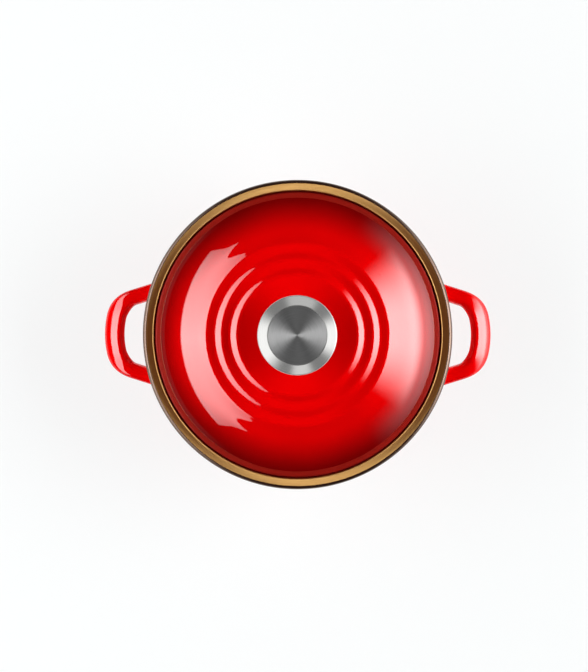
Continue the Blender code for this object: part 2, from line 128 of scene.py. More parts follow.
def new_material(name: str) -> tuple[bpy.types.Material, bpy.types.NodeTree]:
    """Makes a material with an empty node tree.

    Args:
        name: Name of the material.

    Returns:
        The material and its node tree.
    """
    material = bpy.data.materials.new(name)
    material.use_nodes = True
    material.node_tree.nodes.clear()
    return material, material.node_tree


def measured(tree: bpy.types.NodeTree, place: bpy.types.NodeSocket,
             way: Way) -> tuple[bpy.types.Node, bpy.types.Node]:
    """Adds the nodes that measure how far a point lies one way.

    Args:
        tree: Node tree of a material.
        place: Where the point lies.
        way: Which way to measure.

    Returns:
        The part of its place that counts, and the distance.
    """
    part = add_node(tree, "ShaderNodeVectorMath", {"operation": "MULTIPLY"},
                    {0: place, 1: way.value})
    return part, add_node(tree, "ShaderNodeVectorMath", {"operation": "LENGTH"}, {0: part})


def raised_noise(tree: bpy.types.NodeTree, place: bpy.types.NodeSocket, size: float, detail: float,
                 depth: float, strength: float = 1.0) -> tuple[bpy.types.Node, bpy.types.Node]:
    """Adds a noise pattern and the slight relief that it gives a surface.

    Args:
        tree: Node tree of a material.
        place: Where each point lies.
        size: Size of the pattern.
        detail: Number of finer layers in it.
        depth: Depth of the relief.
        strength: How much of the relief shows.

    Returns:
        The pattern and the relief.
    """
    noise = add_node(tree, "ShaderNodeTexNoise",
                     inputs={"Vector": place, "Scale": 1 / size, "Detail": detail})
    relief = add_node(tree, "ShaderNodeBump",
                      inputs={"Strength": strength, "Distance": depth, "Height": noise})
    return noise, relief


# ---------------------------------------------------------------------------------------------
# Finishes


@dataclass(frozen=True)
class OmbreEnamel:
    """Vitreous enamel, sprayed and fired: clear glass over red, with a darker coat at the edge."""

    name: str
    heart: str
    edge: str
    fade: Way                   # which way the darker coat comes in
    fade_start: float
    fade_end: float
    glow: float = 0.50          # share of the colour that comes back as a broad soft sheen
    glow_roughness: float = 0.60
    painted_steep_shade: float = 0.15   # painted shade: how much darker the colour is drawn where the surface is steep
    glass: float = 1.0          # how much clear glass lies over the colour
    glass_roughness: float = 0.02
    glass_ior: float = 1.68
    peel_size: float = 9.0 * MILLIMETRE
    peel_depth: float = 0.010 * MILLIMETRE
    pooling_size: float = 30.0 * MILLIMETRE
    pooling_reach: float = 1.5 * MILLIMETRE     # how far it shifts the darker coat's edge

    def make(self) -> bpy.types.Material:
        """Builds the material: two coats of colour, painted shade on steep sides, a faint orange peel
        and a glassy top.

        Returns:
            The material.
        """
        material, tree = new_material(self.name)
        place = add_node(tree, "ShaderNodeTexCoord").outputs["Object"]
        _, distance = measured(tree, place, self.fade)
        pooling = add_node(tree, "ShaderNodeTexNoise",
                           inputs={"Vector": place, "Scale": 1 / self.pooling_size, "Detail": 2.0})
        wander = add_node(tree, "ShaderNodeMapRange",
                          inputs={"Value": pooling, "To Min": -self.pooling_reach,
                                  "To Max": self.pooling_reach})
        spread = add_node(tree, "ShaderNodeMath", {"operation": "ADD"}, {0: distance, 1: wander})
        share = add_node(tree, "ShaderNodeMapRange", {"interpolation_type": Ramp.SOFT.value},
                         {"Value": spread, "From Min": self.fade_start, "From Max": self.fade_end})
        colour = add_node(tree, "ShaderNodeMix", {"data_type": "RGBA"},
                          {"Factor": share, "A": linear(self.heart), "B": linear(self.edge)})
        # Painted shade: the colour is drawn darker where the lid's top is steep, read from the
        # steepness attribute.
        steep = add_node(tree, "ShaderNodeAttribute", {"attribute_name": STEEPNESS}).outputs["Fac"]
        painted_steep_shade_factor = add_node(tree, "ShaderNodeMapRange",
                        inputs={"Value": steep, "To Min": 1.0, "To Max": 1.0 - self.painted_steep_shade})
        shaded = add_node(tree, "ShaderNodeVectorMath", {"operation": "SCALE"},
                          {0: colour, "Scale": painted_steep_shade_factor})
        _, peel = raised_noise(tree, place, self.peel_size, 1.0, self.peel_depth)
        shader = add_node(tree, "ShaderNodeBsdfPrincipled",
                          inputs={"Base Color": shaded, "Metallic": self.glow,
                                  "Roughness": self.glow_roughness, "Specular IOR Level": 0.0,
                                  "Coat Weight": self.glass, "Coat Roughness": self.glass_roughness,
                                  "Coat IOR": self.glass_ior, "Normal": peel, "Coat Normal": peel})
        add_node(tree, "ShaderNodeOutputMaterial", inputs={"Surface": shader})
        return material


@dataclass(frozen=True)
class SandEnamel:
    """Pale interior enamel: a softer gloss than the outside, and the speckle of opaque frit."""

    name: str
    body: str = "#e6dcc8"
    fleck: str = "#cdbfa6"
    fleck_size: float = 1.6 * MILLIMETRE
    fleck_levels: tuple[float, float] = (0.56, 0.74)    # noise levels over which a fleck comes in
    relief: float = 0.02 * MILLIMETRE
    relief_strength: float = 0.5
    roughness: float = 0.28
    ior: float = 1.55
    glass: float = 0.4
    glass_roughness: float = 0.12

    def make(self) -> bpy.types.Material:
        """Builds the material: a cream ground with small darker flecks and a satin gloss.

        Returns:
            The material.
        """
        material, tree = new_material(self.name)
        place = add_node(tree, "ShaderNodeTexCoord").outputs["Object"]
        flecks, relief = raised_noise(tree, place, self.fleck_size, 3.0, self.relief,
                                      self.relief_strength)
        start, end = self.fleck_levels
        amount = add_node(tree, "ShaderNodeMapRange",
                          inputs={"Value": flecks, "From Min": start, "From Max": end})
        colour = add_node(tree, "ShaderNodeMix", {"data_type": "RGBA"},
                          {"Factor": amount, "A": linear(self.body), "B": linear(self.fleck)})
        shader = add_node(tree, "ShaderNodeBsdfPrincipled",
                          inputs={"Base Color": colour, "Roughness": self.roughness,
                                  "IOR": self.ior, "Coat Weight": self.glass,
                                  "Coat Roughness": self.glass_roughness, "Normal": relief})
        add_node(tree, "ShaderNodeOutputMaterial", inputs={"Surface": shader})
        return material


@dataclass(frozen=True)
class SatinMetal:
    """A turned, pressed or plated metal: its fine grain stretches highlights across the grain."""

    name: str
    bright: str
    dull: str
    roughness: float
    anisotropy: float = 0.0
    grain_turn: float = 0.0     # 0 stretches highlights round the axis, 0.25 along the radius
    grain_size: float = 0.8 * MILLIMETRE
    gloss_swing: float = 0.15   # share by which the grain changes the roughness

    def make(self) -> bpy.types.Material:
        """Builds the material: a metal whose colour and gloss vary a little with its grain.

        Returns:
            The material.
        """
        material, tree = new_material(self.name)
        place = add_node(tree, "ShaderNodeTexCoord").outputs["Object"]
        flat, distance = measured(tree, place, Way.OUTWARDS)
        height = add_node(tree, "ShaderNodeSeparateXYZ", inputs={0: place}).outputs["Z"]
        direction = add_node(tree, "ShaderNodeVectorMath", {"operation": "NORMALIZE"}, {0: flat})
        round_way = add_node(tree, "ShaderNodeVectorMath", {"operation": "SCALE"},
                             {0: direction, "Scale": self.grain_size})
        deep = add_node(tree, "ShaderNodeMath", {"operation": "ADD"}, {0: distance, 1: height})
        lift = add_node(tree, "ShaderNodeCombineXYZ", inputs={"Z": deep})
        where = add_node(tree, "ShaderNodeVectorMath", {"operation": "ADD"},
                         {0: round_way, 1: lift})
        grain = add_node(tree, "ShaderNodeTexNoise",
                         inputs={"Vector": where, "Scale": 1 / self.grain_size, "Detail": 3.0})
        colour = add_node(tree, "ShaderNodeMix", {"data_type": "RGBA"},
                          {"Factor": grain, "A": linear(self.bright), "B": linear(self.dull)})
        gloss = add_node(tree, "ShaderNodeMapRange",
                         inputs={"Value": grain, "To Min": self.roughness * (1 - self.gloss_swing),
                                 "To Max": self.roughness * (1 + self.gloss_swing)})
        shader = add_node(tree, "ShaderNodeBsdfPrincipled",
                          inputs={"Base Color": colour, "Metallic": 1.0, "Roughness": gloss,
                                  "Anisotropic": self.anisotropy,
                                  "Anisotropic Rotation": self.grain_turn})
        if self.anisotropy:
            tangent = add_node(tree, "ShaderNodeTangent", {"direction_type": "RADIAL", "axis": "Z"})
            tree.links.new(tangent.outputs["Tangent"], shader.inputs["Tangent"])
        add_node(tree, "ShaderNodeOutputMaterial", inputs={"Surface": shader})
        return material


@dataclass(frozen=True)
class MouldedSilicone:
    """Moulded silicone rubber: matt, dark, with a faint skin texture."""

    name: str
    colour: str = "#1c1b1a"
    roughness: float = 0.62
    ior: float = 1.42
    skin_size: float = 0.5 * MILLIMETRE
    skin_depth: float = 0.02 * MILLIMETRE
    skin_strength: float = 0.4

    def make(self) -> bpy.types.Material:
        """Builds the material: a dark matt rubber with a fine skin.

        Returns:
            The material.
        """
        material, tree = new_material(self.name)
        place = add_node(tree, "ShaderNodeTexCoord").outputs["Object"]
        _, skin = raised_noise(tree, place, self.skin_size, 2.0, self.skin_depth,
                               self.skin_strength)
        shader = add_node(tree, "ShaderNodeBsdfPrincipled",
                          inputs={"Base Color": linear(self.colour), "Roughness": self.roughness,
                                  "IOR": self.ior, "Normal": skin})
        add_node(tree, "ShaderNodeOutputMaterial", inputs={"Surface": shader})
        return material


# ---------------------------------------------------------------------------------------------
# Turned and swept shapes


@dataclass(frozen=True)
class Corner:
    """A corner of a turned outline, and which finish the strip after it takes."""

    out: float
    up: float
    rounding: float = 0.0
    finish: int = 0


def arms(corners: Sequence[Corner], index: int) -> tuple[Vector, Vector, Vector, float]:
    """Finds the ways from a corner to its neighbours and how far its arc reaches along them.

    Args:
        corners: Corners of an outline.
        index: Which corner.

    Returns:
        The corner, the unit vectors to the last and to the following corner, and the reach.
    """
    corner, last, following = (corners[at % len(corners)] for at in (index, index - 1, index + 1))
    here = Vector((corner.out, corner.up))
    before = (Vector((last.out, last.up)) - here).normalized()
    after = (Vector((following.out, following.up)) - here).normalized()
    reach = corner.rounding / math.tan(before.angle(after) / 2) if corner.rounding else 0.0
    return here, before, after, reach


def trace(corners: Sequence[Corner], closed: bool, steps: int = ROUND_STEPS) -> list[Corner]:
    """Turns rounded corners into arcs of plain points.

    A point is added a little before and after each arc where there is room, which keeps the flat
    stretches shaded as flat ones.

    Args:
        corners: Corners in order. The first and last of an open outline aren't rounded.
        closed: Whether the outline comes back to its first corner.
        steps: Steps in each arc.

    Returns:
        Points with no rounding, each with the finish of the strip after it.
    """
    points = []
    for index, corner in enumerate(corners):
        inner = closed or 0 < index < len(corners) - 1
        if corner.rounding == 0.0 or not inner:
            points.append(Corner(corner.out, corner.up, 0.0, corner.finish))
            continue
        here, before, after, reach = arms(corners, index)
        last, following = corners[index - 1], corners[(index + 1) % len(corners)]
        rooms = []
        for beside, other in ((index - 1, last), (index + 1, following)):
            rounded = closed or 0 < beside < len(corners) - 1
            taken = arms(corners, beside)[3] if rounded else 0.0
            rooms.append((Vector((other.out, other.up)) - here).length - reach - taken)
        hold = corner.rounding * HOLD_SHARE
        half = before.angle(after) / 2
        middle = here + (before + after).normalized() * corner.rounding / math.sin(half)
        first, end = (here + way * reach - middle for way in (before, after))
        sweep = math.pi - 2 * half
        places = []
        if rooms[0] > 2 * hold:
            places.append((here + before * (reach + hold), last.finish))
        for step in range(steps + 1):
            along = step / steps
            arm = first * math.sin((1 - along) * sweep) + end * math.sin(along * sweep)
            places.append((middle + arm / math.sin(sweep), corner.finish))
        if rooms[1] > 2 * hold:
            places.append((here + after * (reach + hold), corner.finish))
        points += [Corner(at.x, at.y, 0.0, finish) for at, finish in places]
    return points


def turned(shape: bmesh.types.BMesh, points: Sequence[Corner], closed: bool,
           spokes: int) -> None:
    """Adds an outline turned once round the Z axis to a mesh.

    Args:
        shape: Mesh that takes the faces.
        points: Points of the outline. One on the axis becomes a pole.
        closed: Whether the last point joins the first.
        spokes: Faces round the axis.
    """
    rings = []
    for point in points:
        if point.out < SEAM:
            rings.append([shape.verts.new((0.0, 0.0, point.up))] * spokes)
            continue
        angles = [math.tau * spoke / spokes for spoke in range(spokes)]
        rings.append([shape.verts.new((point.out * math.cos(a), point.out * math.sin(a), point.up))
                      for a in angles])
    following = rings[1:] + (rings[:1] if closed else [])
    for near, far, point in zip(rings, following, points):
        for spoke in range(spokes):
            beside = (spoke + 1) % spokes
            loop = list(dict.fromkeys((near[spoke], near[beside], far[beside], far[spoke])))
            face = shape.faces.new(loop)
            face.material_index = point.finish


def closed_piece(name: str, shape: bmesh.types.BMesh, finishes: Sequence[bpy.types.Material],
                 body: str, node: str) -> bpy.types.Object:
    """Turns a closed mesh into a finished piece that rides on a body and stands for a CAD node.

    Args:
        name: Name of the piece.
        shape: Its mesh, which this frees.
        finishes: Its materials, in the order that its faces count them.
        body: CAD body that it moves with.
        node: CAD node that it stands for.

    Returns:
        The piece's object.
    """
    bmesh.ops.remove_doubles(shape, verts=shape.verts, dist=SEAM)
    bmesh.ops.recalc_face_normals(shape, faces=shape.faces)
    mesh = bpy.data.meshes.new(name)
    shape.to_mesh(mesh)
    shape.free()
    for finish in finishes:
        mesh.materials.append(finish)
    mesh.shade_smooth()
    mesh.set_sharp_from_angle(angle=SHARP_ANGLE)
    piece = bpy.data.objects.new(name, mesh)
    bpy.context.scene.collection.objects.link(piece)
    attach(piece, body)
    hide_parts(node)
    LOG.info("%s: %d faces on body %s", name, len(mesh.polygons), body)
    return piece


def turned_piece(name: str, corners: Sequence[Corner], finishes: Sequence[bpy.types.Material],
                 body: str, node: str, spokes: int = SPOKES,
                 steps: int = ROUND_STEPS) -> bpy.types.Object:
    """Turns an outline once round the Z axis into a finished piece.

    Args:
        name: Name of the piece.
        corners: Its outline, which is open if it starts on the axis and closed otherwise.
        finishes: Its materials, in the order that the corners count them.
        body: CAD body that it moves with.
        node: CAD node that it stands for.
        spokes: Faces round the axis.
        steps: Steps in each rounding.

    Returns:
        The piece's object.
    """
    closed = corners[0].out > SEAM
    shape = bmesh.new()
    turned(shape, trace(corners, closed, steps), closed, spokes)
    return closed_piece(name, shape, finishes, body, node)


# ---------------------------------------------------------------------------------------------
# The pot


@dataclass(frozen=True)
class Pot:
    """The cast pot: a tapered wall, a flared collar under the lip and a ledge for the lid."""

    outside: bpy.types.Material
    inside: bpy.types.Material
    rim: bpy.types.Material
    wall_foot_radius: float = 0.0993
    wall_top_radius: float = 0.1063
    wall_top_height: float = 0.0940
    wall_thickness: float = 0.0045
    floor_thickness: float = 0.0050
    base_round: float = 0.0220
    collar_flare: float = 0.0060
    collar_round: float = 0.0050    # in the hollow under the collar
    collar_edge_round: float = 0.0025
    lip_thickness: float = 0.0050
    lip_round: float = 0.0015
    seat_depth: float = 0.0041
    seat_round: float = 0.0008

    @property
    def lip_height(self) -> float:
        """Height of the lip, from the CAD node."""
        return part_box("pot_body")[1].z

    @property
    def collar_radius(self) -> float:
        """Radius of the collar, from the CAD node."""
        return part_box("pot_body")[1].x

    def wall_radius(self, height: float) -> float:
        """Outer radius of the tapered wall at a height."""
        rise = self.wall_top_radius - self.wall_foot_radius
        return self.wall_foot_radius + rise * height / self.wall_top_height

    def build(self) -> bpy.types.Object:
        """Builds the pot with its red outside, its pale inside and its dark lip.

        Returns:
            The pot's object.
        """
        red, pale, dark = range(3)
        bore = self.wall_top_radius - self.wall_thickness
        lip_inside = self.collar_radius - self.lip_thickness
        seat = self.lip_height - self.seat_depth
        floor_corner = self.wall_radius(self.floor_thickness) - self.wall_thickness
        corners = [
            Corner(0.0, self.floor_thickness, finish=pale),
            Corner(floor_corner, self.floor_thickness, self.base_round - self.wall_thickness, pale),
            Corner(bore, self.wall_top_height, 0.0, pale),
            Corner(bore, seat, self.seat_round, dark),
            Corner(lip_inside, seat, self.seat_round, dark),
            Corner(lip_inside, self.lip_height, self.seat_round, dark),
            Corner(self.collar_radius, self.lip_height, self.lip_round, red),
            Corner(self.collar_radius, self.wall_top_height + self.collar_flare,
                   self.collar_edge_round, red),
            Corner(self.wall_top_radius, self.wall_top_height, self.collar_round, red),
            Corner(self.wall_foot_radius, 0.0, self.base_round, red),
            Corner(0.0, 0.0, finish=red),
        ]
        return turned_piece("pot_casting", corners, [self.outside, self.inside, self.rim], "pot",
                            "pot_body")


@dataclass(frozen=True)
class RimBand:
    """The metal channel pressed over the pot's lip."""

    pot: Pot
    satin: bpy.types.Material
    rolled: bpy.types.Material
    thickness: float = 0.0014
    inner_skirt: float = 0.0036
    outer_round: float = 0.0030
    inner_round: float = 0.0015
    skirt_round: float = 0.00035    # at the skirts' sheared edges
    crown_drop: float = 0.0004      # from the crest of its slightly crowned top to the shoulders
    crown_round: float = 0.0140
    lip_gap: float = 0.0003

    def build(self) -> bpy.types.Object:
        """Builds the band with a crowned top, whose outer shoulder is rolled and polished.

        Returns:
            The band's object.
        """
        satin, rolled = range(2)
        low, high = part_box("rim_band")
        outer, top = high.x, high.z
        inner = outer - 2 * (self.thickness + self.lip_gap) - self.pot.lip_thickness
        crest, shoulder = (inner + outer) / 2, top - self.crown_drop
        under, skirt_end = top - self.thickness, top - self.inner_skirt
        corners = [
            Corner(inner, shoulder, self.inner_round, satin),
            Corner(crest, top, self.crown_round, satin),
            # The rolled shoulder and outer skirt take the rolled finish, whose dark brown is painted
            # shade.
            Corner(outer, shoulder, self.outer_round, rolled),
            Corner(outer, low.z, self.skirt_round, rolled),
            Corner(outer - self.thickness, low.z, 0.0, rolled),
            Corner(outer - self.thickness, under, self.outer_round - self.thickness, satin),
            Corner(inner + self.thickness, under, 0.0, satin),
            Corner(inner + self.thickness, skirt_end, 0.0, satin),
            Corner(inner, skirt_end, self.skirt_round, satin),
        ]
        return turned_piece("rim_channel", corners, [self.satin, self.rolled], "pot",
                            "rim_band", steps=FINE_ROUND_STEPS)


@dataclass(frozen=True)
class LoopHandle:
    """A cast loop: a broad bar on two flared legs that swell into the pot's wall."""

    pot: Pot
    side: int
    bow_radius: float = 0.0620      # of the bar's gentle bow
    bow_turn: float = math.radians(12.0)
    bend_radius: float = 0.0200
    leg_flare: float = math.radians(17.5)
    bar_half_width: float = 0.0078
    leg_half_width: float = 0.0060
    half_thickness: float = 0.0044
    bar_tilt: float = math.radians(28.0)
    leg_tilt: float = math.radians(10.0)
    squareness: float = 3.0
    change_start: float = 0.2       # share of the bend at which the bar starts to turn into the leg
    root_round: float = 0.0060
    root_turn: float = math.radians(72.0)
    root_sink: float = 0.0012
    section_points: int = 64
    bar_steps: int = 6
    bend_steps: int = 40
    root_steps: int = 12

    @property
    def node(self) -> str:
        """Name of the CAD node on this side."""
        return "handle_right" if self.side > 0 else "handle_left"

    def section(self, share: float) -> list[Vector]:
        """Outline of the loop's section, as (outwards, up).

        Args:
            share: 0 at the bar and 1 at the legs.

        Returns:
            Points of a flattened oval that leans down on its outer side.
        """
        half_width = self.bar_half_width + (self.leg_half_width - self.bar_half_width) * share
        tilt = self.bar_tilt + (self.leg_tilt - self.bar_tilt) * share
        power = 2 / self.squareness
        points = []
        for index in range(self.section_points):
            angle = math.tau * index / self.section_points
            across = half_width * math.copysign(abs(math.cos(angle)) ** power, math.cos(angle))
            up = self.half_thickness * math.copysign(abs(math.sin(angle)) ** power, math.sin(angle))
            points.append(Vector((across * math.cos(tilt) + up * math.sin(tilt),
                                  up * math.cos(tilt) - across * math.sin(tilt))))
        return points

    def ring(self, middle: Vector, turned_by: float, share: float) -> list[Vector]:
        """The loop's section standing across its middle line.

        Args:
            middle: Point of the middle line.
            turned_by: How far the line has turned from the Y direction.
            share: 0 at the bar and 1 at the legs.

        Returns:
            Points of the ring.
        """
        outwards = Vector((math.cos(turned_by), math.sin(turned_by), 0.0))
        return [middle + outwards * across + Vector((0.0, 0.0, up))
                for across, up in self.section(share)]

    def root_ring(self, middle: Vector, turned_by: float, swell: float,
                  distance: float) -> list[Vector]:
        """The leg's section, swollen, each point slid along the leg to a distance from the wall.

        Args:
            middle: Last point of the middle line.
            turned_by: How far the line has turned from the Y direction.
            swell: How much the section has grown.
            distance: Distance from the wall, below 0 inside it.

        Returns:
            Points of the ring.
        """
        outwards = Vector((math.cos(turned_by), math.sin(turned_by), 0.0))
        along = Vector((-math.sin(turned_by), math.cos(turned_by), 0.0))
        ring = []
        for point in self.section(1.0):
            across, up = point + point.normalized() * swell
            start = middle + outwards * across + Vector((0.0, 0.0, up))
            goal = self.pot.wall_radius(start.z) + distance
            approach = start.x * along.x + start.y * along.y
            travel = -approach - math.sqrt(approach ** 2 - start.x ** 2 - start.y ** 2 + goal ** 2)
            ring.append(start + along * travel)
        return ring

    def half_loop(self) -> list[list[Vector]]:
        """Lays the rings of half the loop.

        Returns:
            Rings from the bar's middle round the bend and down the leg into the wall.
        """
        low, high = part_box("handle_right")
        height = (low.z + high.z) / 2
        bar_x = high.x - max(point.x for point in self.section(0.0))
        leg_turn = math.pi / 2 - self.leg_flare
        rings = []
        for step in range(self.bar_steps):
            turned_by = self.bow_turn * step / self.bar_steps
            middle = Vector((bar_x - self.bow_radius * (1 - math.cos(turned_by)),
                             self.bow_radius * math.sin(turned_by), height))
            rings.append(self.ring(middle, turned_by, 0.0))
        tighter = self.bow_radius - self.bend_radius
        bend_x = bar_x - self.bow_radius + tighter * math.cos(self.bow_turn)
        bend_y = tighter * math.sin(self.bow_turn)
        for step in range(self.bend_steps + 1):
            share = step / self.bend_steps
            turned_by = self.bow_turn + (leg_turn - self.bow_turn) * share
            middle = Vector((bend_x + self.bend_radius * math.cos(turned_by),
                             bend_y + self.bend_radius * math.sin(turned_by), height))
            late = max(0.0, (share - self.change_start) / (1 - self.change_start))
            eased = late * late * (3 - 2 * late)
            rings.append(self.ring(middle, turned_by, eased))
        for step in range(self.root_steps + 1):
            fillet = self.root_turn * step / self.root_steps
            swell = self.root_round * (1 - math.cos(fillet))
            distance = self.root_round * (1 - math.sin(fillet))
            rings.append(self.root_ring(middle, leg_turn, swell, distance))
        rings.append(self.root_ring(middle, leg_turn, swell, -self.root_sink))
        return rings

    def build(self) -> bpy.types.Object:
        """Builds the loop and sinks its roots into the wall, as in a casting.

        Returns:
            The loop's object.
        """
        half = self.half_loop()
        other = [[Vector((p.x, -p.y, p.z)) for p in ring] for ring in reversed(half[1:])]
        shape = bmesh.new()
        rings = [[shape.verts.new((p.x * self.side, p.y, p.z)) for p in ring]
                 for ring in other + half]
        for near, far in zip(rings, rings[1:]):
            for index in range(self.section_points):
                beside = (index + 1) % self.section_points
                shape.faces.new((near[index], near[beside], far[beside], far[index]))
        shape.faces.new(rings[0])
        shape.faces.new(rings[-1])
        return closed_piece(f"{self.node}_loop", shape, [self.pot.outside], "pot",
                            self.node)


# ---------------------------------------------------------------------------------------------
# The lid


SOCKETS = {int: "NodeSocketInt", float: "NodeSocketFloat",
           bpy.types.Material: "NodeSocketMaterial"}
RANGE = "RANGE"             # a rule that takes one range of values to another

# Each rule makes a value from numbers and from values named before it. A RANGE takes the
# value, the range that it comes from and, unless it is 0 to 1, the range that it goes to.
LID_TOP_RULES = (
    ("columns", "ADD", "Rings", 1.0),
    ("rows", "ADD", "Spokes", 1.0),
    ("outward", "ADD", "X", 0.5),
    ("around", "ADD", "Y", 0.5),
    ("count", "MULTIPLY", "around", "Spokes"),
    ("spoke", "ROUND", "count"),
    ("width", "SUBTRACT", "Crease Radius", "Hole Radius"),
    ("step", "DIVIDE", "width", "Rings"),
    ("radius", "MULTIPLY_ADD", "outward", "width", "Hole Radius"),
    ("middle", "MULTIPLY_ADD", "step", 0.5, "radius"),
    ("crown", RANGE, "middle", "Seat Radius", "First Flat Radius"),
    ("crowned", "MULTIPLY", "crown", "Gentlest Slope"),
    ("last", "MULTIPLY_ADD", "Wave Count", "Wave Length", "First Flat Radius"),
    ("turns", RANGE, "middle", "First Flat Radius", "last", 0.0, "Wave Count"),
    ("wave angle", "MULTIPLY", "turns", math.tau),
    ("ripple", "COSINE", "wave angle"),
    ("wave", RANGE, "ripple", 1.0, -1.0),
    ("narrowed", "POWER", "wave", "Wave Power"),
    ("swing", "SUBTRACT", "Steepest Slope", "Gentlest Slope"),
    ("waved", "MULTIPLY_ADD", "narrowed", "swing", "crowned"),
    ("past", RANGE, "middle", "last", "Crease Radius"),
    ("growth", "POWER", "past", "Shoulder Power"),
    ("extra", "SUBTRACT", "Shoulder Slope", "Steepest Slope"),
    ("bold", "MULTIPLY_ADD", "growth", "extra", "waved"),
    ("faint end", "ADD", "last", "Faint Length"),
    ("faint angle", RANGE, "middle", "last", "faint end", 0.0, math.tau),
    ("faint ripple", "COSINE", "faint angle"),
    ("dip", RANGE, "faint ripple", 1.0, -1.0, 0.0, "Faint Swing"),
    ("slope", "SUBTRACT", "bold", "dip"),
    ("gradient", "TANGENT", "slope"),
    ("fall", "MULTIPLY", "gradient", "step"),
    ("azimuth", "MULTIPLY", "around", math.tau),
    ("cosine", "COSINE", "azimuth"),
    ("sine", "SINE", "azimuth"),
    ("across", "MULTIPLY", "radius", "cosine"),
    ("along", "MULTIPLY", "radius", "sine"),
)


